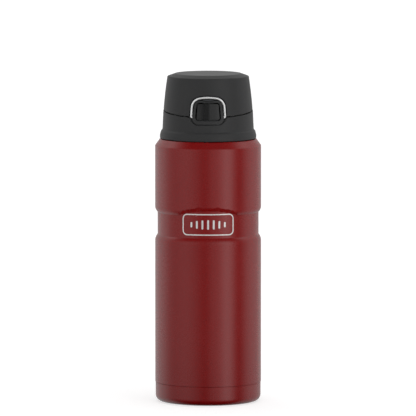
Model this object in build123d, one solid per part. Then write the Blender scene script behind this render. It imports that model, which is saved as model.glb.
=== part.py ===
from build123d import *
from math import atan2, cos, degrees, radians, sin, sqrt, tan
import os

# Vacuum insulated drink bottle with a screw-on closure, a flip lid, a push button and a wire lock.
# Millimetres. +Z is up, the origin is the centre of the base, and the button faces -Y.

# ---- driving dimensions: bottle body ----
barrel_diameter = 79.0        # widest part of the coated steel body
shoulder_height = 191.4       # base to the sharp edge where the shoulder starts
steel_wall = 0.5              # sheet thickness of shell, base cup and liner
base_seam_height = 14.7       # lower edge of the shell, where the base cup comes out of it
base_spigot = 4.0             # how far the base cup reaches up inside the shell
base_corner_round = 4.8
base_proud = 0.25             # base cup's side outside its spigot, at the groove
base_draft = 0.1              # and how much narrower it is at its foot
base_groove = 0.6             # groove under the shell's lower edge
foot_ring_width = 10.5        # foot ring's inner edge to the base cup's side
base_recess_depth = 2.0
base_disc_gap = 2.7           # disc to the foot ring's inner edge
base_disc_thickness = 0.6
waist_low = 125.1             # lower and upper edge of the band's flat floor
waist_high = 141.8
waist_depth = 1.85
waist_low_angle = 41.0        # slope of the band's flanks, from vertical
waist_high_angle = 47.5
waist_crease = 0.4            # hollow fillet at the foot of each flank
arch_half_angle = 34.0        # raised arch in the band's upper edge, at the front
arch_rise = 3.4
arch_rows = 9                 # sections and points per section that the arch is lofted through
arch_points = 13
shoulder_angle = 35.3         # shoulder cone, from vertical
shoulder_inset = 3.5          # radial width of the visible cone
neck_height = 14.15           # flat shelf under the closure to the lip
liner_gap = 3.6               # liner outside to barrel inside
liner_floor = 9.0
liner_shoulder_drop = 12.35   # liner's shoulder corner below the shelf
liner_floor_round = 8.0
foil_thickness = 0.2
getter_offset = 14.0

# ---- driving dimensions: closure ----
collar_gap = 0.35             # closure's lower edge above the shelf
collar_height = 21.3          # closure's lower edge to the parting plane, on the axis
parting_tilt = 6.0            # the parting plane is lower at the front
parting_gap = 0.7
collar_ring_height = 6.8      # flared ring at the foot of the collar
collar_ring_inset = 0.1       # ring's outside, in from the shelf's edge
collar_ring_step = 1.86       # ring's outside to the collar above it
collar_slope = 2.74           # side of the collar, from vertical
collar_wall = 2.04
core_wall = 1.05              # skirt that carries the inner thread
core_flange = 1.55
core_clearance = 0.05
lip_gap = 0.45                # core's flange above the lip
thread_pitch = 4.5
thread_height = 1.2
thread_root_half = 1.2        # half the ridge's width at its root
thread_crest_half = 0.5
thread_clearance = 0.5        # crest to the opposite wall
thread_bite = 0.25            # how deep a ridge's root is sunk in its wall
neck_thread_turns = 1.25
core_thread_turns = 1.0
neck_thread_drop = 1.725      # thread's last turn below the lip
thread_flank_gap = 0.62       # between the flanks of the two meshed ridges
neck_wall_gap = 2.7           # shell's neck inside to liner's neck outside
plug_clearance = 0.6          # plug to the mouth
plug_wall = 2.0
plug_depth = 14.6             # plug's end below the lip
gasket_height = 3.0
gasket_groove_depth = 1.2
gasket_lift = 1.2             # groove above the plug's end
gasket_squeeze_gap = 0.15     # gasket to the mouth
gasket_groove_gap = 0.1
seal_ring_width = 2.0
seal_ring_height = 0.8
deck_thickness = 1.3          # spout's flange
deck_gap = 0.1
spout_offset = 4.0            # spout's axis in front of the bottle's axis
spout_foot_gap = 2.65         # spout's foot to the back of the latch housing
spout_taper = 2.8             # foot's radius to rim's radius
spout_wall = 2.2

# ---- driving dimensions: lid ----
lid_side_height = 25.0        # parting plane to rim, on the axis
lid_inset = 0.2               # lid's side inside the collar's, at the parting plane
lid_low_slope = 4.2           # side slope at the foot and at the rim, from vertical
lid_high_slope = 8.8
lid_side_round = 280.0        # large curve between the two slopes
lid_rim_round = 0.8
top_border = 5.69             # sloping border between the flat top and the rim
top_rise = 2.05               # flat above the rim
lid_wall = 2.0
liner_pan_wall = 1.3
liner_pan_gap = 0.2
liner_pan_side_round = 120.0
liner_pan_drop = 3.3          # pan's outside below the rim
seal_thickness = 4.65
seal_gap = 0.25               # lid seal above the spout's rim
seal_boss_inset = 2.2         # boss that the seal is clipped round, inside the spout's rim
seal_boss_wall = 2.0
edge_round = 0.4              # edges along the parting line

# ---- driving dimensions: rear hinge ----
hinge_out = 1.4               # pin's axis behind the collar's side
hinge_drop = 0.65             # pin's axis below the parting plane
knuckle_radius = 3.0
knuckle_gap = 0.32
hinge_pin_radius = 1.25
hinge_running_gap = 0.06
ear_inner, ear_outer = 7.3, 10.4
knuckle_inner, knuckle_outer = 3.7, 7.0
hinge_spring_wire = 0.6

# ---- driving dimensions: latch ----
bezel_proud = 0.45
bezel_depth = 1.5             # bezel's back behind the collar's side, in front of the core
bezel_gap = 0.9               # collar's opening outside the bezel
bezel_low_round, bezel_high_round = 4.2, 3.3
bezel_neck = -1.0             # height where the bezel's sides stop closing in
frame_below, frame_above = 2.28, 1.48   # bezel's width outside the gap round the button
frame_foot, frame_pivot, frame_neck, frame_top = 2.05, 2.0, 1.9, 1.5   # and at its sides, going up
button_low, button_high = -8.57, 3.17   # heights from the housing's datum, as all heights here
button_low_half, button_high_half = 8.65, 7.7
button_round = 1.5
button_gap = 1.05
button_recess = 0.5           # button's face behind the collar's side
button_wall = 1.6
button_pin_radius = 0.8
button_hub_radius = 2.1
button_hub_inset = 2.35       # hub's end inside the button's side
button_spring_wire = 0.4
button_running_gap = 0.05
button_pin_setback = 5.1      # pin behind the collar's side
button_pin_height = -5.1
housing_wall = 1.4
housing_inset = 0.8           # housing's side inside the bezel's, at the bail's pivot
housing_depth = 10.7          # housing's back behind the collar's side
latch_width_half = 4.0
latch_tip_gap = 0.15          # nose to lip, so that neither is in the other's way
bail_wire = 1.3
bail_pivot_height = -6.8
bail_pivot_sink = 0.1         # pivot behind the collar's side, at the bezel's edge
bail_lean = 8.0               # the upright bail leans forward
bail_low_out, bail_high_out = 0.95, 1.4 # wire's axis outside the bezel, at the pivot and at the top
bail_corner_up, bail_apex_up = 1.1, 2.65   # wire's corners and middle above the bezel, along the wire
bail_corner_round = 7.0
bail_apex_round = 30.0
bail_foot_length = 1.0        # foot inside the bezel's side
bail_foot_round = 0.75
bail_running_gap = 0.05
notch_margin = 0.75           # lid's notch outside the bail
catch_low_half, catch_high_half = 2.75, 3.85   # lid's catch tab, under the bail
catch_height = 1.25
catch_sink = 0.45             # tab's lower edge below the bezel's top
catch_gap = 0.3
big = 600.0                   # larger than the whole bottle, for cutting blocks

# ---- derived: bottle ----
barrel_radius = barrel_diameter / 2
barrel_inside = barrel_radius - steel_wall
waist_radius = barrel_radius - waist_depth
shelf_radius = barrel_radius - shoulder_inset
shelf_z = shoulder_height + shoulder_inset / tan(radians(shoulder_angle))
lip_z = shelf_z + neck_height
liner_radius = barrel_inside - liner_gap
base_side = barrel_inside + base_proud
base_foot = base_side - base_draft
foot_ring_inner = base_foot - foot_ring_width
base_disc_radius = foot_ring_inner - base_disc_gap

# ---- derived: closure, from the outside in ----
ring_radius = shelf_radius - collar_ring_inset
collar_foot_radius = ring_radius - collar_ring_step
collar_z = shelf_z + collar_gap
ring_top_z = collar_z + collar_ring_height
parting_z = collar_z + collar_height
collar_top_radius = collar_foot_radius - (parting_z - ring_top_z) * tan(radians(collar_slope))
collar_bore = collar_foot_radius - collar_wall
core_radius = collar_bore - core_clearance
core_bore = core_radius - core_wall
thread_crest_radius = core_bore - thread_clearance
neck_radius = thread_crest_radius - thread_height
neck_inside = neck_radius - steel_wall
mouth_outside = neck_inside - neck_wall_gap
mouth_radius = mouth_outside - steel_wall
neck_thread_z = lip_z - neck_thread_drop - thread_root_half - neck_thread_turns * thread_pitch
plug_radius = mouth_radius - plug_clearance
plug_bore = plug_radius - plug_wall
flange_z = lip_z + lip_gap
core_top_z = flange_z + core_flange
deck_low_z = core_top_z + deck_gap
deck_z = deck_low_z + deck_thickness

# ---- derived: lid ----
rim_z = parting_z + lid_side_height
lid_foot_radius = collar_top_radius - lid_inset
pan_top_z = rim_z - liner_pan_drop
seal_top_z = pan_top_z - liner_pan_wall
spout_rim_z = seal_top_z - seal_thickness - seal_gap

# ---- derived: hinge and latch ----
hinge_y = collar_top_radius + hinge_out
hinge_z = parting_z + hinge_y * tan(radians(parting_tilt)) - hinge_drop
front_z = parting_z - collar_top_radius * tan(radians(parting_tilt))
latch_z = front_z + 7.0       # datum for the housing, the button and the bail
front_y = -collar_top_radius
bezel_low = button_low - button_gap - frame_below
bezel_high = button_high + button_gap + frame_above
bezel_low_half = button_low_half + button_gap + frame_foot
bezel_pivot_half = button_low_half + button_gap + frame_pivot
bezel_neck_half = button_high_half + button_gap + frame_neck
bezel_high_half = button_high_half + button_gap + frame_top
button_hub_half = button_low_half - button_hub_inset
button_pin_y = front_y + button_pin_setback
button_pin_z = latch_z + button_pin_height
bail_y = bail_pivot_sink - sqrt(collar_top_radius ** 2 - bezel_pivot_half ** 2)
bail_z = latch_z + bail_pivot_height
bail_low_half = bezel_pivot_half + bail_low_out
bail_high_half = bezel_high_half + bail_high_out
bail_corner_height = bezel_high - bail_pivot_height + bail_corner_up
bail_apex_height = bezel_high - bail_pivot_height + bail_apex_up
housing_half = bezel_pivot_half - housing_inset
tower_top_z = latch_z + bezel_high
catch_low_z = tower_top_z - catch_sink
housing_back_y = front_y + housing_depth
spout_foot_radius = -spout_offset - housing_back_y - spout_foot_gap
spout_rim_radius = spout_foot_radius - spout_taper
seal_boss_radius = spout_rim_radius - seal_boss_inset
hook_front_y = front_y + 4.7
hook_back_y = hook_front_y + 1.6
lip_tip_y = hook_back_y + 1.2
arm_front_y = lip_tip_y + latch_tip_gap + 0.85
arm_back_y = arm_front_y + 1.5
lip_low_z = latch_z - 0.5
lip_high_z = lip_low_z + 1.5


# ---- helpers ----
def turned(corners):
    """Solid of revolution about Z from (radius, height) or (radius, height, fillet) corners."""
    points = [(c[0], 0, c[1]) for c in corners]
    fillets = [c[2] if len(c) > 2 else 0 for c in corners]
    return revolve(make_face(FilletPolyline(*points, radius=fillets, close=True)), Axis.Z)


def inset(path, distance):
    """The corners of an open path moved to its left by distance, with fillets to match."""
    moved = []
    steps = [(b[0] - a[0], b[1] - a[1]) for a, b in zip(path, path[1:])]
    units = [(dr / sqrt(dr * dr + dz * dz), dz / sqrt(dr * dr + dz * dz)) for dr, dz in steps]
    for i, corner in enumerate(path):
        before = units[max(i - 1, 0)]
        after = units[min(i, len(units) - 1)]
        side = (-before[1] - after[1], before[0] + after[0])
        scale = distance / (1 + before[0] * after[0] + before[1] * after[1])
        turn = before[0] * after[1] - before[1] * after[0]
        fillet_here = corner[2] if len(corner) > 2 else 0
        if fillet_here:
            fillet_here = max(fillet_here - distance if turn > 0 else fillet_here + distance, 0)
        moved.append((corner[0] + side[0] * scale, corner[1] + side[1] * scale, fillet_here))
    return moved


def sheet(path, thickness):
    """A turned wall: the path is its outside, and the wall lies to the path's left."""
    return turned(list(path) + list(reversed(inset(path, thickness))))


def filled(path):
    """A turned solid between the path and the axis."""
    start = [(0, path[0][1])] if path[0][0] > 0 else []
    end = [(0, path[-1][1])] if path[-1][0] > 0 else []
    return turned(start + list(path) + end)


def block(x, y, z):
    """A box from three (low, high) pairs."""
    centre = [(low + high) / 2 for low, high in (x, y, z)]
    return Pos(*centre) * Box(x[1] - x[0], y[1] - y[0], z[1] - z[0])


def rod_x(radius, low, high, y, z):
    """A cylinder along X."""
    return Pos((low + high) / 2, y, z) * Rot(0, 90, 0) * Cylinder(radius, high - low)


def both_sides(solid):
    """The solid and its mirror image across the YZ plane."""
    return solid + mirror(solid, Plane.YZ)


def front_prism(corners, back_y):
    """Corners (x, z) or (x, z, fillet) of the right half, mirrored, and drawn from back_y to the front."""
    left = [(-c[0], *c[1:]) for c in reversed(corners) if c[0] > 0]
    loop = list(corners) + left
    fillets = [c[2] if len(c) > 2 else 0 for c in loop]
    outline = FilletPolyline(*[(c[0], back_y, c[1]) for c in loop], radius=fillets, close=True)
    return extrude(make_face(outline), amount=-big / 4 - back_y, dir=(0, 1, 0))


def above_parting(gap):
    """Half space above the tilted parting plane, raised by gap."""
    return Pos(0, 0, parting_z) * Rot(parting_tilt, 0, 0) * Pos(0, 0, big / 2 + gap) * Box(big, big, big)


def ridge(turns, root, crest, z_start):
    """A helical thread ridge from its root radius to its crest radius; the root is sunk in the wall."""
    outward = 1 if crest > root else -1
    path = Helix(thread_pitch, thread_pitch * turns, root)
    section = make_face(Polyline(
        (root - outward * thread_bite, 0, -thread_root_half),
        (root, 0, -thread_root_half),
        (crest, 0, -thread_crest_half),
        (crest, 0, thread_crest_half),
        (root, 0, thread_root_half),
        (root - outward * thread_bite, 0, thread_root_half),
        close=True,
    ))
    return Pos(0, 0, z_start) * sweep(section, path=path, is_frenet=True)


def torsion_spring(wire, coil_radius, turns, length, x_low, y, z, reach, start):
    """A coil along X whose wire runs off straight at both ends; start turns it about its axis."""
    path = Helix(length / turns, length, coil_radius)
    first = Plane(origin=path @ 0, z_dir=path % 0)
    last = Plane(origin=path @ 1, z_dir=path % 1)
    coil = sweep(first * Circle(wire / 2), path=path, is_frenet=True)
    legs = extrude(first * Circle(wire / 2), amount=-reach) + extrude(last * Circle(wire / 2), amount=reach)
    return Pos(x_low, y, z) * Rot(0, 90, 0) * Rot(0, 0, start) * (coil + legs)


# ---- bottle body ----
def flank_rounds(angle):
    """Slant length and the largest round that a waist flank takes at this angle."""
    slant = waist_depth / sin(radians(angle))
    half_turn = tan(radians(angle / 2))
    return waist_depth / tan(radians(angle)), 0.97 * slant / half_turn - waist_crease


def shell_path():
    low_run, low_round = flank_rounds(waist_low_angle)
    high_run, high_round = flank_rounds(waist_high_angle)
    return [
        (barrel_radius, base_seam_height),
        (barrel_radius, waist_low - low_run, low_round),
        (waist_radius, waist_low, waist_crease),
        (waist_radius, waist_high, waist_crease),
        (barrel_radius, waist_high + high_run, high_round),
        (barrel_radius, shoulder_height, 0.9),
        (shelf_radius, shelf_z, 0.7),
        (neck_radius, shelf_z, 1.0),
        (neck_radius, lip_z - steel_wall),
    ]


def flank_height(radius, crease, edge):
    """Height of the upper flank at a radius: a cone from the crease, rounded into the barrel."""
    cone_angle = atan2(edge[0] - crease[0], edge[1] - crease[1])
    centre_r = edge[0] - edge[2]
    centre_z = edge[1] + edge[2] * tan(cone_angle / 2)
    if radius >= edge[0]:
        return centre_z
    on_cone = crease[1] + max(radius - crease[0], 0) / tan(cone_angle)
    if radius < centre_r + edge[2] * cos(cone_angle):
        return on_cone
    return centre_z - sqrt(edge[2] ** 2 - (radius - centre_r) ** 2)


def waist_arch(crease, edge):
    """What the arch takes from the wall above the band: the band's own flank, raised over the front."""
    end = radians(arch_half_angle)
    angles = [end * (2 * i / (arch_points - 1) - 1) for i in range(arch_points)]
    low_y = crease[0] * cos(end) - 1
    high_y = edge[0] + 0.6
    sections = []
    for row in range(arch_rows):
        y = low_y + (high_y - low_y) * row / (arch_rows - 1)
        top = []
        for angle in angles:
            lift = arch_rise * (1 - (angle / end) ** 2)
            top.append((y * tan(angle), -y, lift + flank_height(y / cos(angle), crease, edge)))
        low_z = crease[1] - 2
        base = Polyline(top[-1], (top[-1][0], -y, low_z), (top[0][0], -y, low_z), top[0])
        sections.append(make_face(Spline(*top) + base))
    return loft(sections, ruled=True) - Cylinder(crease[0], big)


def outer_shell():
    outside = shell_path()
    inside = inset(outside, steel_wall)
    wall = filled(outside) - waist_arch(outside[3], outside[4])
    hollow = filled(inside) - waist_arch(inside[3], inside[4])
    thread = ridge(neck_thread_turns, neck_radius, thread_crest_radius, neck_thread_z)
    return wall - hollow + thread


def base_cup():
    return sheet([
        (1.0, base_recess_depth + 1.0),
        (3.4, base_recess_depth + 1.0, 0.3),
        (4.2, base_recess_depth, 0.3),
        (foot_ring_inner - 2.2, base_recess_depth, 1.2),
        (foot_ring_inner, 0, 1.2),
        (base_foot, 0, base_corner_round),
        (base_side, base_seam_height - base_groove),
        (barrel_inside, base_seam_height - base_groove + base_proud),
        (barrel_inside, base_seam_height + base_spigot),
    ], steel_wall)


def base_disc():
    low = base_recess_depth - base_disc_thickness
    return turned([
        (0, low),
        (base_disc_radius, low, 0.2),
        (base_disc_radius, base_recess_depth),
        (0, base_recess_depth),
    ])


def vacuum_seal():
    top = base_recess_depth + 1.0
    return turned([
        (0, top - 0.6),
        (2.8, top - 0.6, 0.3),
        (2.8, top),
        (0.95, top),
        (0.95, top + 0.4),
        (0, top + 0.4),
    ])


def liner():
    shoulder_z = shelf_z - liner_shoulder_drop
    return sheet([
        (0, liner_floor),
        (liner_radius, liner_floor, liner_floor_round),
        (liner_radius, shoulder_z, 6.0),
        (mouth_outside, shoulder_z + (liner_radius - mouth_outside) * 0.95, 3.0),
        (mouth_outside, lip_z - steel_wall, 0.4),
        (neck_radius, lip_z - steel_wall),
    ], steel_wall)


def radiation_foil():
    inner = liner_radius + 0.02
    low = liner_floor + liner_floor_round
    high = shelf_z - liner_shoulder_drop - 4.0
    outer = inner + foil_thickness
    return turned([(inner, low), (outer, low), (outer, high), (inner, high)])


def getter_clip():
    top = liner_floor
    plate = block((-6, 6), (getter_offset - 3.5, getter_offset + 3.5), (top - 0.3, top))
    leg = block((3.1, 3.4), (getter_offset - 2.5, getter_offset + 2.5), (top - 3.0, top - 0.3))
    foot = block((2.4, 3.4), (getter_offset - 2.5, getter_offset + 2.5), (top - 3.2, top - 2.9))
    return plate + both_sides(leg + foot)


def getter():
    return Pos(0, getter_offset, liner_floor - 1.65) * Cylinder(2.9, 2.5)


# ---- closure ----
def threaded_core():
    plug_low = lip_z - plug_depth
    groove_low = plug_low + gasket_lift
    groove_high = groove_low + gasket_height
    skirt_low = collar_z + 0.3
    ring_mid = (plug_bore + core_bore) / 2
    body = turned([
        (plug_bore, plug_low),
        (plug_radius, plug_low, 0.4),
        (plug_radius, groove_low),
        (plug_radius - gasket_groove_depth, groove_low),
        (plug_radius - gasket_groove_depth, groove_high),
        (plug_radius, groove_high),
        (plug_radius, flange_z),
        (core_bore, flange_z),
        (core_bore, skirt_low, 0.3),
        (core_radius, skirt_low, 0.3),
        (core_radius, core_top_z),
        (ring_mid + seal_ring_width / 2, core_top_z),
        (ring_mid + seal_ring_width / 2, core_top_z - seal_ring_height),
        (ring_mid - seal_ring_width / 2, core_top_z - seal_ring_height),
        (ring_mid - seal_ring_width / 2, core_top_z),
        (plug_bore, core_top_z),
    ])
    thread_z = neck_thread_z - 2 * thread_root_half + thread_flank_gap
    return body + ridge(core_thread_turns, core_bore, core_bore - thread_height, thread_z)


def core_seal():
    ring_mid = (plug_bore + core_bore) / 2
    inner = ring_mid - seal_ring_width / 2 + 0.05
    outer = ring_mid + seal_ring_width / 2 - 0.05
    low = core_top_z - seal_ring_height
    return turned([(inner, low), (outer, low), (outer, deck_low_z, 0.2), (inner, deck_low_z, 0.2)])


def neck_gasket():
    low = lip_z - plug_depth + gasket_lift + gasket_groove_gap
    high = low + gasket_height - 2 * gasket_groove_gap
    middle = (low + high) / 2
    inner = plug_radius - gasket_groove_depth + gasket_groove_gap
    outer = mouth_radius - gasket_squeeze_gap
    waist = plug_radius - 0.1
    return turned([
        (inner, low),
        (outer - 0.3, low, 0.2),
        (outer, low + 0.45, 0.2),
        (waist, middle, 0.2),
        (outer, high - 0.45, 0.2),
        (outer - 0.3, high, 0.2),
        (inner, high),
    ])


def hinge_barrels(inner, outer):
    return both_sides(rod_x(knuckle_radius, inner, outer, hinge_y, hinge_z))


def yz_plate(corners, inner, outer):
    """A plate between two X planes from (y, z) corners, and its mirror image."""
    face = make_face(Polyline(*[(inner, y, z) for y, z in corners], close=True))
    return both_sides(extrude(face, amount=outer - inner, dir=(1, 0, 0)))


def collar_outside():
    drop = parting_z + 12 - ring_top_z
    return [
        (collar_bore + 1.9, collar_z),
        (ring_radius, collar_z, 0.6),
        (ring_radius, collar_z + 2.6, 3.5),
        (ring_radius - 0.75, ring_top_z - 1.3, 0.5),
        (collar_foot_radius, ring_top_z, 0.25),
        (collar_foot_radius - drop * tan(radians(collar_slope)), ring_top_z + drop),
    ]


def collar_shell():
    outside = filled(collar_outside()) - above_parting(-parting_gap / 2)
    rim = outside.edges().filter_by(GeomType.ELLIPSE).sort_by(Axis.Z)[-1]
    body = fillet(rim, edge_round)
    web = yz_plate([
        (hinge_y - 4.2, hinge_z - 12),
        (hinge_y - 1.6, hinge_z - 12),
        (hinge_y + knuckle_radius - 0.1, hinge_z - 1),
        (hinge_y, hinge_z),
        (hinge_y - 4.2, hinge_z),
    ], ear_inner, ear_outer)
    body += hinge_barrels(ear_inner, ear_outer) + web
    body -= turned([
        (0, collar_z - 1),
        (collar_bore + 1.9, collar_z - 1),
        (collar_bore + 1.9, ring_top_z - 2.2),
        (collar_bore, ring_top_z - 0.6),
        (collar_bore, rim_z),
        (0, rim_z),
    ])
    body -= rod_x(knuckle_radius + knuckle_gap, -ear_inner, ear_inner, hinge_y, hinge_z)
    body -= both_sides(rod_x(hinge_pin_radius, ear_inner - 1, ear_outer + 1, hinge_y, hinge_z))
    body -= front_prism(grown(bezel_corners(), bezel_gap), front_y + 8)
    body -= bail_room()
    return body


def drinking_spout():
    flange = Pos(0, 0, (deck_low_z + deck_z) / 2) * Cylinder(collar_bore - 0.3, deck_thickness)
    spigot = turned([
        (plug_bore - 1.4, deck_low_z - 2.0),
        (plug_bore - 0.15, deck_low_z - 2.0, 0.3),
        (plug_bore - 0.15, deck_low_z + 0.2),
        (plug_bore - 1.4, deck_low_z + 0.2),
    ])
    outside = Pos(0, -spout_offset, 0) * turned([
        (0, deck_low_z),
        (spout_foot_radius + 2.5, deck_low_z),
        (spout_foot_radius + 2.5, deck_z),
        (spout_foot_radius, deck_z, 2.0),
        (spout_rim_radius, spout_rim_z - 4.5, 12.0),
        (spout_rim_radius, spout_rim_z, 0.9),
        (0, spout_rim_z),
    ])
    inside = Pos(0, -spout_offset, 0) * turned([
        (0, deck_low_z - 1),
        (spout_foot_radius - spout_wall, deck_low_z - 1),
        (spout_foot_radius - spout_wall, deck_z),
        (spout_rim_radius - spout_wall, spout_rim_z - 4.5, 12.0),
        (spout_rim_radius - spout_wall, spout_rim_z + 1),
        (0, spout_rim_z + 1),
    ])
    body = flange + outside - inside + spigot
    half = housing_half + 0.7
    latch_bay = block((-half, half), (-big, housing_back_y + 0.2), (deck_low_z - 1, deck_z + 1))
    return body - latch_bay


# ---- latch ----
def grown(corners, margin):
    """A half outline (x, z, fillet) made larger: wider, with its first corner lower and its last higher."""
    rises = [-margin] + [0] * (len(corners) - 2) + [margin]
    return [(x + margin, z + rise, f + margin if f else 0) for (x, z, f), rise in zip(corners, rises)]


def bezel_corners():
    return [
        (bezel_low_half, latch_z + bezel_low, bezel_low_round),
        (bezel_pivot_half, bail_z, 0),
        (bezel_neck_half, latch_z + bezel_neck, 0),
        (bezel_high_half, latch_z + bezel_high, bezel_high_round),
    ]


def button_corners():
    return [
        (button_low_half, latch_z + button_low, button_round),
        (button_high_half, latch_z + button_high, button_round),
    ]


def catch_corners(margin):
    """Half outline of the lid's catch tab, larger by margin."""
    high_z = catch_low_z + catch_height
    return [(catch_low_half + margin, catch_low_z - margin), (catch_high_half + margin, high_z + margin)]


def bail_corners(margin):
    """Half outline of the bail's own plane seen from the front, moved outward by margin."""
    lean = cos(radians(bail_lean))
    return [
        (bail_low_half + margin, bail_z - 8, 0),
        (bail_low_half + margin, bail_z, 0),
        (bail_high_half + margin, bail_z + bail_corner_height * lean + margin, bail_corner_round + margin),
        (0, bail_z + bail_apex_height * lean + margin, 0),
    ]


def bail_room():
    """Space in the collar for the feet of the bail, which turn about its pivot."""
    reach = bail_wire / 2 + 0.35
    end = bail_low_half + reach
    pocket = rod_x(reach + 0.5, bezel_pivot_half - 0.5, end, bail_y, bail_z)
    swing = block((bezel_pivot_half - 0.5, end), (bail_y - 6, bail_y + 0.4), (bail_z - 3.2, bail_z + 4))
    return both_sides(pocket + swing)


def side_band(low_gap, high_gap):
    """A band around the axis that follows the side of the collar and the lid, between two offsets."""
    low_z = ring_top_z
    high_z = parting_z + lid_side_height / 2
    mid_radius = collar_top_radius
    high_radius = lid_foot_radius - (high_z - parting_z) * tan(radians(lid_low_slope))
    corners = [(collar_foot_radius, low_z), (mid_radius, parting_z), (high_radius, high_z)]
    outer = [(r + high_gap, z) for r, z in corners]
    inner = [(r + low_gap, z) for r, z in corners]
    return turned(outer + list(reversed(inner)))


def latch_housing():
    front = side_band(-bezel_depth, bezel_proud) & front_prism(bezel_corners(), front_y + 8)
    front -= front_prism(catch_corners(catch_gap), front_y + 8)
    floor_low = deck_low_z
    wall_high = tower_top_z - 0.7
    upright = housing_half - housing_wall
    floor_high = floor_low + housing_wall
    bottom = block((-housing_half, housing_half), (bail_y - 0.5, housing_back_y), (floor_low, floor_high))
    side = block((upright, housing_half), (bail_y - 0.9, housing_back_y), (floor_low, wall_high))
    slope = yz_plate([
        (housing_back_y + 1, wall_high - 6.5),
        (housing_back_y + 1, wall_high + 1),
        (housing_back_y - 4, wall_high + 1),
    ], upright - 1, housing_half + 1)
    inside = Cylinder(collar_bore + 0.3, big) & (bottom + both_sides(side) - slope)
    mouth = front_prism(grown(button_corners(), button_gap), bail_y + 0.8)
    relief = block((-upright, upright), (front_y - 4, front_y + 3.2), (floor_low - 1, floor_low + 3))
    body = front + inside - mouth - (relief & Cylinder(collar_bore - 0.4, big))
    body -= rod_x(button_pin_radius, -big, big, button_pin_y, button_pin_z)
    bail_holes = rod_x(bail_wire / 2 + bail_running_gap, button_low_half + button_gap, big, bail_y, bail_z)
    return body - both_sides(bail_holes)


def button_pin():
    return rod_x(button_pin_radius, -housing_half + 0.3, housing_half - 0.3, button_pin_y, button_pin_z)


def push_button():
    back = button_recess + button_wall
    plate = front_prism(button_corners(), front_y + 6) & side_band(-back, -button_recess)
    hub = rod_x(button_hub_radius, -button_hub_half, button_hub_half, button_pin_y, button_pin_z)
    low, high = button_pin_z - 0.9, button_pin_z + 1.3
    web = block((-button_hub_half, button_hub_half), (front_y + back - 0.4, button_pin_y), (low, high))
    tail = block((-latch_width_half, latch_width_half), (button_pin_y, arm_back_y), (low, high))
    arm = block((-latch_width_half, latch_width_half), (arm_front_y, arm_back_y), (low, lip_high_z + 3.6))
    nose = yz_plate([
        (lip_tip_y + latch_tip_gap, lip_high_z + 0.3),
        (arm_front_y + 0.1, lip_high_z + 0.3),
        (arm_front_y + 0.1, lip_high_z + 2.6),
    ], 0, latch_width_half)
    body = plate + hub + web + tail + arm + nose
    return body - rod_x(button_pin_radius + button_running_gap, -big, big, button_pin_y, button_pin_z)


def button_spring():
    low = button_hub_half + 0.3
    return torsion_spring(button_spring_wire, 1.45, 3.6, 2.0, low, button_pin_y, button_pin_z, 1.2, 200)


def lock_bail():
    half = [
        (bezel_pivot_half - bail_foot_length, 0),
        (bail_low_half, 0),
        (bail_high_half, bail_corner_height),
        (0, bail_apex_height),
    ]
    points = [(x, 0, s) for x, s in half] + [(-x, 0, s) for x, s in reversed(half[:-1])]
    radii = [bail_foot_round, bail_corner_round, bail_apex_round, bail_corner_round, bail_foot_round]
    path = FilletPolyline(*points, radius=radii)
    section = Plane(origin=path @ 0, z_dir=path % 0) * Circle(bail_wire / 2)
    wire = sweep(section, path=path)
    return Pos(0, bail_y, bail_z) * Rot(bail_lean, 0, 0) * wire


# ---- lid ----
def lid_side_bend(half):
    """Round between the side's two slopes, or the largest that the wall's inside has room for."""
    turn = radians(lid_high_slope - lid_low_slope)
    rim_turn = radians(90 - lid_high_slope) - atan2(top_rise, top_border)
    room = half / cos(radians(lid_high_slope)) - lid_wall * tan(rim_turn / 2)
    return min(lid_side_round, lid_wall + 0.98 * room / tan(turn / 2))


def lid_path():
    half = lid_side_height / 2
    foot = 12.0
    mid_radius = lid_foot_radius - half * tan(radians(lid_low_slope))
    rim_radius = mid_radius - half * tan(radians(lid_high_slope))
    return [
        (lid_foot_radius + foot * tan(radians(lid_low_slope)), parting_z - foot),
        (mid_radius, parting_z + half, lid_side_bend(half)),
        (rim_radius, rim_z, lid_rim_round),
        (rim_radius - top_border, rim_z + top_rise, 0.6),
        (0, rim_z + top_rise),
    ]


def lid_cover():
    outside = filled(lid_path()) & above_parting(parting_gap / 2)
    foot = outside.edges().filter_by(GeomType.ELLIPSE).sort_by(Axis.Z)[0]
    body = fillet(foot, edge_round)
    web = yz_plate([
        (hinge_y - 5, hinge_z + 1.2),
        (hinge_y, hinge_z),
        (hinge_y + knuckle_radius - 0.25, hinge_z + 1.2),
        (hinge_y - 1.4, hinge_z + 8.5),
        (hinge_y - 5, hinge_z + 8.5),
    ], knuckle_inner, knuckle_outer)
    body += hinge_barrels(knuckle_inner, knuckle_outer) + web
    hinge_wall = block((-big, big), (hinge_y - 3.6, big), (0, hinge_z + 2.0))
    body -= filled(inset(lid_path(), lid_wall)) - hinge_wall
    clear = knuckle_radius + knuckle_gap
    body -= both_sides(rod_x(clear, knuckle_outer, ear_outer + 0.3, hinge_y, hinge_z))
    body -= rod_x(clear, -knuckle_inner, knuckle_inner, hinge_y, hinge_z)
    body -= rod_x(hinge_pin_radius + hinge_running_gap, -big, big, hinge_y, hinge_z)
    return body - front_prism(bail_corners(bail_wire / 2 + notch_margin), front_y + 9)


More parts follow.
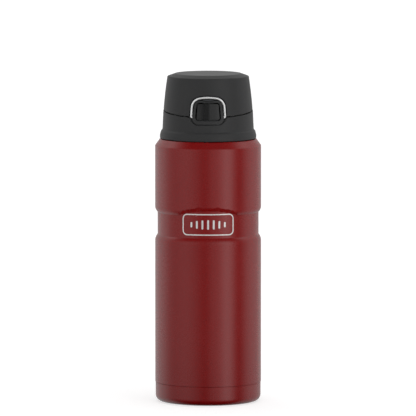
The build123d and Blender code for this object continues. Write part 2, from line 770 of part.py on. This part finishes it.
def lid_liner():
    foot, middle = inset(lid_path(), lid_wall + liner_pan_gap)[:2]
    top_radius = middle[0] - (pan_top_z - middle[1]) * tan(radians(lid_high_slope))
    side = (middle[0], middle[1], liner_pan_side_round)
    path = [foot, side, (top_radius, pan_top_z, 2.5), (0, pan_top_z)]
    body = sheet(path, liner_pan_wall) & above_parting(parting_gap / 2)
    boss_low, boss_high = seal_top_z - 2.0, seal_top_z + 0.3
    inner = seal_boss_radius - seal_boss_wall
    boss = turned([
        (inner, boss_low),
        (seal_boss_radius, boss_low, 0.3),
        (seal_boss_radius, boss_high),
        (inner, boss_high),
    ])
    body += Pos(0, -spout_offset, 0) * boss
    body -= block((-housing_half - 0.6, housing_half + 0.6), (-big, front_y + 14), (0, tower_top_z + 0.5))
    body -= rod_x(knuckle_radius + knuckle_gap + 0.3, -ear_outer - 0.6, ear_outer + 0.6, hinge_y, hinge_z)
    tab_front = bail_y - (catch_low_z - bail_z) * tan(radians(bail_lean)) + bail_wire / 2 + 0.25
    tab = front_prism(catch_corners(0), front_y + 5)
    tab -= block((-big, big), (-big, tab_front), (0, rim_z))
    hook = yz_plate([
        (hook_front_y, lip_low_z),
        (hook_back_y, lip_low_z),
        (lip_tip_y, lip_low_z + 0.9),
        (lip_tip_y, lip_high_z),
        (hook_back_y, lip_high_z),
        (hook_back_y, tower_top_z + 3.0),
        (hook_front_y - 1.2, tower_top_z + 3.0),
        (hook_front_y - 1.2, tower_top_z + 0.5),
        (hook_front_y, tower_top_z + 0.5),
    ], 0, latch_width_half)
    return body + tab + hook


def spout_seal():
    low = spout_rim_z + seal_gap
    high = seal_top_z - 0.1
    groove = seal_boss_radius + 0.2
    return Pos(0, -spout_offset, 0) * turned([
        (0, low + 0.9),
        (spout_rim_radius - spout_wall - 1.6, low + 0.9, 0.5),
        (spout_rim_radius - spout_wall - 0.8, low, 0.3),
        (spout_rim_radius + 0.9, low, 0.6),
        (spout_rim_radius + 0.9, high, 0.6),
        (groove, high),
        (groove, high - 2.0),
        (0, high - 2.0),
    ])


def hinge_pin():
    return rod_x(hinge_pin_radius, -ear_outer, ear_outer, hinge_y, hinge_z)


def hinge_spring():
    coil_radius = hinge_pin_radius + hinge_running_gap + hinge_spring_wire
    length = 2 * (knuckle_inner - 0.6)
    return torsion_spring(
        hinge_spring_wire, coil_radius, 6.3, length, -length / 2, hinge_y, hinge_z, 1.4, -60
    )


pieces = {
    "outer_shell": outer_shell,
    "base_cup": base_cup,
    "base_disc": base_disc,
    "vacuum_seal": vacuum_seal,
    "inner_vessel": liner,
    "radiation_foil": radiation_foil,
    "getter": getter,
    "getter_clip": getter_clip,
    "threaded_core": threaded_core,
    "core_seal": core_seal,
    "neck_gasket": neck_gasket,
    "collar_shell": collar_shell,
    "drinking_spout": drinking_spout,
    "latch_housing": latch_housing,
    "push_button": push_button,
    "button_pin": button_pin,
    "button_spring": button_spring,
    "lock_bail": lock_bail,
    "lid_cover": lid_cover,
    "lid_liner": lid_liner,
    "spout_seal": spout_seal,
    "hinge_pin": hinge_pin,
    "hinge_spring": hinge_spring,
}

os.makedirs("parts", exist_ok=True)
for name, make in pieces.items():
    solid = make()
    export_step(solid, f"parts/{name}.step")
    print(name, round(solid.volume, 1), "solids", len(solid.solids()))
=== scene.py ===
import math

import bmesh
import bpy
import numpy as np
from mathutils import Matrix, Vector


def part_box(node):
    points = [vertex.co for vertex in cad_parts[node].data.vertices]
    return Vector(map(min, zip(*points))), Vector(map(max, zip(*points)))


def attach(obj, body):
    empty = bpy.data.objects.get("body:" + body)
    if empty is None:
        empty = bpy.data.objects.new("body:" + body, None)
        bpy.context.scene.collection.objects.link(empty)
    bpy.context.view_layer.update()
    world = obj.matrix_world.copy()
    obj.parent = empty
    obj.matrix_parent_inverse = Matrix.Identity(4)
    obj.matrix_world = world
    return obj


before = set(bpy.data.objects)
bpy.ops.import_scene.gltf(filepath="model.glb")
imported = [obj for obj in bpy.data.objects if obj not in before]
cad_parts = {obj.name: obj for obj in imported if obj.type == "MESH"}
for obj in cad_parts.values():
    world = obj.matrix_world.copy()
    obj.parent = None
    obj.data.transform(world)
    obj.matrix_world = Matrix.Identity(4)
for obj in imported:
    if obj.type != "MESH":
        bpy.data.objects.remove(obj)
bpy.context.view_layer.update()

bpy.context.scene.view_settings.view_transform = "Standard"
bpy.context.scene.view_settings.look = "None"


# One output socket of a shader tree; + - * / on it add Math nodes, with numbers on either side.
class Wire:
    def __init__(self, graph, socket):
        self.graph = graph
        self.socket = socket

    def math(self, operation, first, second):
        return self.graph.node("ShaderNodeMath", {"operation": operation}, {0: first, 1: second})

    def __add__(self, other):
        return self.math("ADD", self, other)

    def __radd__(self, other):
        return self.math("ADD", other, self)

    def __sub__(self, other):
        return self.math("SUBTRACT", self, other)

    def __rsub__(self, other):
        return self.math("SUBTRACT", other, self)

    def __mul__(self, other):
        return self.math("MULTIPLY", self, other)

    def __rmul__(self, other):
        return self.math("MULTIPLY", other, self)

    def __truediv__(self, other):
        return self.math("DIVIDE", self, other)


directionOutput, objectOutput = 0, 3   # outputs of the Texture Coordinate node


class Graph:
    def __init__(self, tree):
        self.tree = tree

    # Adds a node of a type: its settings come first, then its socket values or links. Gives one output.
    def node(self, kind, settings=None, inputs=None, output=0):
        made = self.tree.nodes.new(kind)
        for name, value in (settings or {}).items():
            if name == "ramp":
                self.fillRamp(made.color_ramp, value)
            else:
                setattr(made, name, value)
        for key, value in (inputs or {}).items():
            if isinstance(value, Wire):
                self.tree.links.new(value.socket, made.inputs[key])
            else:
                made.inputs[key].default_value = value
        return Wire(self, made.outputs[output]) if len(made.outputs) else None

    # Each stop is (place, grey).
    def fillRamp(self, ramp, stops):
        ramp.interpolation = "LINEAR"
        while len(ramp.elements) < len(stops):
            ramp.elements.new(0.5)
        for element, (place, grey) in zip(ramp.elements, stops):
            element.position = place
            element.color = (grey, grey, grey, 1.0)

    # Blend of two colours; a Mix node's colour sockets are 6 and 7, and its colour output is 2.
    def mix(self, factor, first, second):
        return self.node("ShaderNodeMix", {"data_type": "RGBA"}, {"Factor": factor, 6: first, 7: second}, 2)

    # Rises from 0 to 1 while the value goes from low to high.
    def rampUp(self, value, low, high):
        return self.node("ShaderNodeMapRange", None, {"Value": value, "From Min": low, "From Max": high})

    def function(self, operation, *values):
        return self.node("ShaderNodeMath", {"operation": operation}, dict(enumerate(values)))

    # The object's own coordinates, or a direction in the world, as three wires.
    def place(self, output=objectOutput):
        vector = self.node("ShaderNodeTexCoord", None, None, output)
        split = self.node("ShaderNodeSeparateXYZ", None, {"Vector": vector}).socket.node
        return [Wire(self, socket) for socket in split.outputs]

    # Noise over the object's coordinates, or over another vector; scale is in cells per metre.
    def noise(self, scale, detail=2.0, vector=None):
        where = vector or self.node("ShaderNodeTexCoord", None, None, objectOutput)
        return self.node("ShaderNodeTexNoise", None, {"Vector": where, "Scale": scale, "Detail": detail})

    def bump(self, height, strength, distance):
        inputs = {"Height": height, "Strength": strength, "Distance": distance}
        return self.node("ShaderNodeBump", None, inputs)


# A material with one Principled shader; make(graph) gives what goes into its sockets.
def newMaterial(name, make):
    material = bpy.data.materials.new(name)
    material.use_nodes = True
    material.node_tree.nodes.clear()
    graph = Graph(material.node_tree)
    shader = graph.node("ShaderNodeBsdfPrincipled", None, make(graph))
    graph.node("ShaderNodeOutputMaterial", None, {"Surface": shader})
    return material


# Powder coat and moulded plastic: a slow drift of tone, a fine grain in gloss, and the grain as relief.
coat = {
    "dark": (0.178, 0.0012, 0.0012, 1), "light": (0.194, 0.0022, 0.0022, 1), "drift": 38,
    "roughness": 0.27, "swing": 0.05, "grain": 2400, "relief": 0.00002, "strength": 0.10, "specular": 0.5,
}
plastic = {
    "dark": (0.0300, 0.0300, 0.0305, 1), "light": (0.0350, 0.0350, 0.0355, 1), "drift": 60,
    "roughness": 0.46, "swing": 0.07, "grain": 3400, "relief": 0.00002, "strength": 0.14, "specular": 0.17,
}
buttonPlastic = {
    **plastic, "dark": (0.0125, 0.0125, 0.0128, 1), "light": (0.0140, 0.0140, 0.0143, 1),
    "roughness": 0.08, "swing": 0.02, "strength": 0.02, "specular": 0.5,
}
greyPlastic = {
    **plastic, "dark": (0.040, 0.041, 0.043, 1), "light": (0.048, 0.049, 0.051, 1),
    "roughness": 0.40, "specular": 0.4,
}
silicone = {
    **plastic, "dark": (0.30, 0.31, 0.32, 1), "light": (0.36, 0.37, 0.38, 1),
    "roughness": 0.42, "specular": 0.4,
}


def grained(name, look, extra=None):
    def sockets(graph):
        drift = graph.noise(look["drift"], 3.0)
        grain = graph.noise(look["grain"])
        made = {
            "Base Color": graph.mix(drift, look["dark"], look["light"]),
            "Roughness": look["roughness"] + (drift + grain - 1.0) * look["swing"],
            "Specular IOR Level": look["specular"],
            "Normal": graph.bump(grain, look["strength"], look["relief"]),
        }
        made.update(extra or {})
        return made
    return newMaterial(name, sockets)


coatFinish = grained("redPowderCoat", coat)
plasticFinish = grained("blackMouldedPlastic", plastic)
buttonFinish = grained("polishedButtonPlastic", buttonPlastic)
greyFinish = grained("greyMouldedPlastic", greyPlastic)
softness = {"Subsurface Weight": 0.1, "Subsurface Radius": (0.002, 0.002, 0.002)}
siliconeFinish = grained("greySilicone", silicone, softness)

# Turned metal: noise read by distance from the axis and by height, so that its lines run round the bottle.
steel = {
    "dark": (0.50, 0.49, 0.48, 1), "light": (0.64, 0.63, 0.62, 1),
    "roughness": 0.24, "swing": 0.12, "metal": 1.0,
    "lines": 6000.0, "strength": 0.1, "relief": 0.00001,   # lines per metre, and their height in metres
}
brightWire = {
    **steel, "dark": (0.88, 0.88, 0.88, 1), "light": (0.97, 0.97, 0.97, 1),
    "roughness": 0.30, "swing": 0.03, "metal": 0.45,
}
darkPin = {**steel, "dark": (0.030, 0.030, 0.030, 1), "light": (0.050, 0.050, 0.050, 1), "roughness": 0.4}
foil = {**steel, "dark": (0.75, 0.75, 0.76, 1), "light": (0.85, 0.85, 0.86, 1), "roughness": 0.18}
sintered = {**steel, "dark": (0.16, 0.16, 0.16, 1), "light": (0.22, 0.22, 0.22, 1), "roughness": 0.6}


def turnedMetal(name, look):
    def sockets(graph):
        x, y, z = graph.place()
        radius = graph.function("SQRT", x * x + y * y)
        rings = graph.node("ShaderNodeCombineXYZ", None, {"X": radius, "Z": z})
        lines = graph.noise(look["lines"], 3.0, rings)
        return {
            "Base Color": graph.mix(lines, look["dark"], look["light"]),
            "Metallic": look["metal"],
            "Roughness": look["roughness"] + (lines - 0.5) * look["swing"],
            "Normal": graph.bump(lines, look["strength"], look["relief"]),
        }
    return newMaterial(name, sockets)


steelFinish = turnedMetal("turnedSteel", steel)
wireFinish = turnedMetal("brightWire", brightWire)
pinFinish = turnedMetal("darkPin", darkPin)
foilFinish = turnedMetal("brightFoil", foil)
getterFinish = turnedMetal("sinteredGetter", sintered)

nodeFinish = {
    "outer_shell": coatFinish, "base_cup": coatFinish,
    "base_disc": steelFinish, "inner_vessel": steelFinish, "getter_clip": steelFinish,
    "hinge_pin": steelFinish, "hinge_spring": steelFinish,
    "radiation_foil": foilFinish, "getter": getterFinish,
    "button_pin": pinFinish, "button_spring": pinFinish, "lock_bail": wireFinish,
    "collar_shell": plasticFinish, "latch_housing": plasticFinish, "lid_cover": plasticFinish,
    "push_button": buttonFinish,
    "threaded_core": greyFinish, "drinking_spout": greyFinish, "lid_liner": greyFinish,
    "vacuum_seal": siliconeFinish, "core_seal": siliconeFinish, "neck_gasket": siliconeFinish,
    "spout_seal": siliconeFinish,
}
for name, finish in nodeFinish.items():
    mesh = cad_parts[name].data
    mesh.materials.clear()
    mesh.materials.append(finish)
print("finishes:", len(nodeFinish), "nodes")

# Emblem on the band: a plain rounded frame with a row of bars, laid on the band's cylinder.
emblem = {
    "bandDepth": 0.00185, "middle": 0.1353, "halfWidth": 0.0193, "halfHeight": 0.0076, "corner": 0.0032,
    "line": 0.00082, "proud": 0.00014, "sunk": 0.00006, "edge": 0.00006,
    "bars": 7, "barPitch": 0.0042, "barWidth": 0.0014, "barHalf": 0.0036, "barFall": 0.0016, "barSteps": 24,
    "dark": (0.66, 0.655, 0.64, 1), "light": (0.726, 0.7205, 0.704, 1), "mottle": 900.0,
    "metal": 0.25, "roughness": 0.32, "swing": 0.08, "grain": 2600.0,
}


def smoothMesh(name, points, faces, material):
    mesh = bpy.data.meshes.new(name)
    mesh.from_pydata(points.reshape(-1, 3).tolist(), [], faces.tolist())
    work = bmesh.new()
    work.from_mesh(mesh)
    bmesh.ops.remove_doubles(work, verts=work.verts, dist=1e-7)
    bmesh.ops.dissolve_degenerate(work, edges=work.edges, dist=1e-8)
    bmesh.ops.recalc_face_normals(work, faces=work.faces)
    work.to_mesh(mesh)
    work.free()
    mesh.materials.append(material)
    piece = bpy.data.objects.new(name, mesh)
    bpy.context.scene.collection.objects.link(piece)
    return piece


# Four-sided faces of a grid of points whose columns, and rows if asked, run on into the first ones.
def gridFaces(rows, columns, closeRows):
    row, column = np.meshgrid(np.arange(rows if closeRows else rows - 1), np.arange(columns), indexing="ij")
    near, far = row * columns, (row + 1) % rows * columns
    beside = (column + 1) % columns
    corners = [near + column, near + beside, far + beside, far + column]
    return np.stack(corners, axis=-1).reshape(-1, 4)


# A point of the flat drawing goes to the cylinder at angle across / radius, and out by its height above it.
def wrapped(across, up, height, radius):
    angle = across / radius
    out = radius + height
    return np.stack([out * np.sin(angle), -out * np.cos(angle), up + 0 * out], axis=-1)


# Outline of a rounded box: a quarter circle in each corner, at the corner's centre plus corner * (cos, sin),
# then read again at even steps of its length, so that its long sides bend with the band.
def roundedOutline(halfWidth, halfHeight, corner, arcSteps=12, steps=160):
    turn = (np.arange(4)[:, None] + np.linspace(0, 1, arcSteps)[None, :]).ravel() * math.pi / 2
    side = np.repeat([1, -1, -1, 1], arcSteps)
    rise = np.repeat([1, 1, -1, -1], arcSteps)
    centre = np.stack([side * (halfWidth - corner), rise * (halfHeight - corner)])
    rounded = centre + corner * np.stack([np.cos(turn), np.sin(turn)])
    closed = np.concatenate([rounded, rounded[:, :1]], axis=1)
    angles = np.append(turn, 2 * math.pi)
    length = np.concatenate([[0], np.cumsum(np.hypot(*np.diff(closed, axis=1)))])
    even = np.linspace(0, length[-1], steps, endpoint=False)
    path = np.stack([np.interp(even, length, row) for row in closed])
    heading = np.interp(even, length, angles)
    return path, np.stack([np.cos(heading), np.sin(heading)])


# A line of the frame: the outline shifted along its normal by a small raised profile that closes on itself.
def emblemFrame(look, radius):
    path, normal = roundedOutline(look["halfWidth"], look["halfHeight"], look["corner"])
    half, edge = look["line"] / 2, look["edge"]
    shift = np.array([-half, -half, edge - half, half - edge, half, half])[:, None]
    foot, top = -look["sunk"], look["proud"]
    height = np.array([foot, top - edge, top, top, top - edge, foot])[:, None]
    across, up = path[0] + shift * normal[0], path[1] + shift * normal[1]
    points = wrapped(across, up + look["middle"], height + 0 * across, radius)
    return points, gridFaces(points.shape[0], points.shape[1], True)


# A bar: rings round its middle line at distances that grow to half its width and shrink again on top.
def emblemBar(look, radius, place):
    half, edge = look["barWidth"] / 2, look["edge"]
    reach = look["barHalf"] - look["barFall"] * (2 * place / (look["bars"] - 1)) ** 2
    turn = np.linspace(0, 2 * math.pi, look["barSteps"], endpoint=False)
    distance = np.array([0, half, half, half - edge, 0])[:, None]
    foot, top = -look["sunk"], look["proud"]
    height = np.array([foot, foot, top - edge, top, top])[:, None]
    across = place * look["barPitch"] + distance * np.cos(turn)
    up = look["middle"] + (reach - half) * np.sign(np.sin(turn + 1e-9)) + distance * np.sin(turn)
    points = wrapped(across, up, height + 0 * across, radius)
    return points, gridFaces(points.shape[0], points.shape[1], False)


def makeEmblem(look):
    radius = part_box("outer_shell")[1][0] - look["bandDepth"]
    places = np.arange(look["bars"]) - (look["bars"] - 1) / 2
    parts = [emblemFrame(look, radius)] + [emblemBar(look, radius, place) for place in places]
    starts = np.cumsum([0] + [part[0].size // 3 for part in parts[:-1]])
    points = np.concatenate([part[0].reshape(-1, 3) for part in parts])
    faces = np.concatenate([part[1] + start for part, start in zip(parts, starts)])
    silver = newMaterial("emblemSilver", lambda graph: {
        "Base Color": graph.mix(graph.noise(look["mottle"]), look["dark"], look["light"]),
        "Metallic": look["metal"],
        "Roughness": look["roughness"] + graph.noise(look["grain"]) * look["swing"],
    })
    piece = smoothMesh("band_emblem", points, faces, silver)
    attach(piece, "bottle")


makeEmblem(emblem)
print("emblem ready")

# The pale floor is what the camera sees. Another just under it sends light up at the bottle: less of it from
# close by, because its base colour is painted darker there as a painted shadow of the bottle.
paleFloor = {"half": 20.0, "drop": 0.0002, "near": 0.50, "far": 0.50, "glow": 0.635, "roughness": 0.9}
lightingFloor = {"half": 20.0, "drop": 0.0004, "near": 0.24, "far": 0.90, "glow": 0.0, "roughness": 0.9}
shadowReach = (0.05, 0.15)   # metres from the axis over which the floor goes from near to far


def makeFloor(name, look):
    side = look["half"]
    corners = [(-side, -side, 0), (side, -side, 0), (side, side, 0), (-side, side, 0)]
    mesh = bpy.data.meshes.new(name)
    mesh.from_pydata(corners, [], [(0, 1, 2, 3)])
    near, far = [(look[end], look[end], look[end], 1) for end in ("near", "far")]

    def sockets(graph):
        x, y, z = graph.place()
        radius = graph.function("SQRT", x * x + y * y)
        # Where near is darker than far, this darker base colour close to the axis is a painted shadow of the
        # bottle.
        away = graph.rampUp(radius, *shadowReach)
        return {
            "Base Color": graph.mix(away, near, far), "Roughness": look["roughness"],
            "Emission Color": (1, 1, 1, 1), "Emission Strength": look["glow"],
        }
    mesh.materials.append(newMaterial(name, sockets))
    floor = bpy.data.objects.new(name, mesh)
    bpy.context.scene.collection.objects.link(floor)
    floor.location.z = -look["drop"]
    floor.visible_glossy = False   # walls mirror the studio, not the floor
    return floor


makeFloor("paleFloor", paleFloor).visible_diffuse = False
makeFloor("lightingFloor", lightingFloor).visible_camera = False

# Brightness of the studio round the bottle: degrees from the front, positive to the right.
studio = [
    (-180, 0.95), (-166, 0.60), (-143, 0.82), (-110, 1.00), (-92, 0.62), (-77, 0.55), (-64, 0.68),
    (-48, 0.75), (-37, 0.62), (-27, 0.45), (-19, 0.30), (-12, 0.09), (1, 0.12), (5, 0.50), (20, 0.60),
    (27, 0.85), (34, 1.40), (42, 1.85), (50, 1.45), (59, 0.60), (67, 0.06), (75, 0.08), (84, 0.50),
    (96, 0.85), (110, 0.90), (124, 0.72), (143, 0.68), (166, 0.58), (180, 0.95),
]
# Its share by elevation, in front of the bottle and behind it. One goes over into the other at the sides.
frontRise = [
    (-90, 0.0), (-45, 0.0), (-22, 0.5), (-12, 1.0), (20, 1.0), (30, 0.68), (40, 0.24), (50, 0.04), (57, 0.0),
]
backRise = [
    (-90, 0.0), (-66, 0.0), (-48, 0.9), (-35, 1.0), (30, 1.0), (42, 1.5), (50, 1.5), (64, 0.25), (74, 0.0),
]
sideBlend = 0.25
studioPeak, risePeak = 2.0, 1.6   # no stop is brighter than these, because a ramp holds 0 to 1


# Light from a direction is the brightness at its bearing times the share at its elevation.
def makeWorld():
    world = bpy.data.worlds.new("studio")
    world.use_nodes = True
    world.node_tree.nodes.clear()
    graph = Graph(world.node_tree)
    x, y, z = graph.place(directionOutput)
    bearing = graph.function("ARCTAN2", x, -1.0 * y) / (2 * math.pi) + 0.5
    rise = graph.function("ARCSINE", z) / math.pi + 0.5

    def tabled(table, fullTurn, peak, angle):
        stops = [(degrees / fullTurn + 0.5, level / peak) for degrees, level in table]
        return graph.node("ShaderNodeValToRGB", {"ramp": stops}, {0: angle})
    bands = tabled(studio, 360, studioPeak, bearing)
    front, back = [tabled(table, 180, risePeak, rise) for table in (frontRise, backRise)]
    share = front + (back - front) * graph.rampUp(y, -sideBlend, sideBlend)
    strength = share * (studioPeak * risePeak)
    light = graph.node("ShaderNodeBackground", None, {"Color": bands, "Strength": strength})
    graph.node("ShaderNodeOutputWorld", None, {"Surface": light})
    bpy.context.scene.world = world


makeWorld()

# Broad soft lights. Neither is mirrored: one hangs above, one fills from the front and a little to the right.
overhead = {"spread": 68, "strength": 0.36, "rise": 90, "bearing": 0}
frontFill = {"spread": 150, "strength": 2.45, "rise": 0, "bearing": 20}


def makeSoftLight(name, look):
    lamp = bpy.data.lights.new(name, "SUN")
    lamp.angle = math.radians(look["spread"])
    lamp.energy = look["strength"]
    holder = bpy.data.objects.new(name, lamp)
    holder.location = (0, 0, 1)
    holder.rotation_euler = (math.radians(90 - look["rise"]), 0, math.radians(look["bearing"]))
    holder.visible_glossy = False
    bpy.context.scene.collection.objects.link(holder)


makeSoftLight("overhead", overhead)
makeSoftLight("frontFill", frontFill)

cameraLook = {
    "aside": -0.000075, "back": 5.226, "height": 0.6603, "pitch": 5.64,   # metres, and degrees down
    "lens": 609.4, "sensor": 36.0, "reach": 100.0,   # millimetres, and metres to the far clipping plane
}


def makeCamera(look):
    lens = bpy.data.cameras.new("camera")
    lens.lens = look["lens"]
    lens.sensor_width = look["sensor"]
    lens.clip_end = look["reach"]
    holder = bpy.data.objects.new("camera", lens)
    holder.location = (look["aside"], -look["back"], look["height"])
    holder.rotation_euler = (math.radians(90 - look["pitch"]), 0, 0)
    bpy.context.scene.collection.objects.link(holder)
    bpy.context.scene.camera = holder


makeCamera(cameraLook)
print("studio ready")
